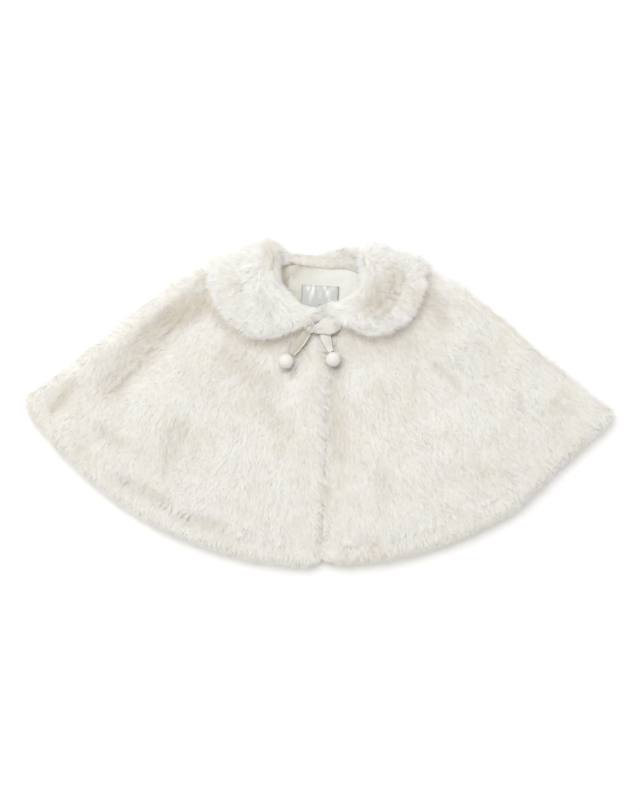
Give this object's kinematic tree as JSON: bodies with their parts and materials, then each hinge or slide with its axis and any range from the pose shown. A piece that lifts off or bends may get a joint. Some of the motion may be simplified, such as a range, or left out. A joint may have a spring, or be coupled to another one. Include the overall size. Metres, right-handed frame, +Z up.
{
  "type": "fur cape",
  "caption": "Child's white fur cape laid flat: semicircular back, two fronts meeting edge to edge, round fur collar, satin neck lining, and a ribbon tie ending in covered balls.",
  "frame": {"origin": "centre of the footprint, on the surface that the cape lies on", "axes": "+X to the right as seen from above with the collar at the far side, +Y towards the collar, +Z up from the surface"},
  "size_m": [0.6351, 0.3495, 0.0441],
  "materials": {
    "fur": "dense ivory-white pile about 12 mm long, matt",
    "satin": "cream satin lining, soft sheen",
    "ribbon": "ivory satin ribbon, soft sheen",
    "felt": "off-white felted wool, matt",
    "label": "light grey satin, bare"
  },
  "bodies": {
    "root": {"back": "fur", "front_left": "fur", "front_right": "fur", "collar_left": "fur", "collar_right": "fur", "lining": "satin", "label": "label", "tie_strap": "ribbon", "tie_knot": "ribbon", "tie_tail_left": "ribbon", "tie_tail_right": "ribbon", "ball_left": "felt", "ball_right": "felt"}
  },
  "joints": []
}
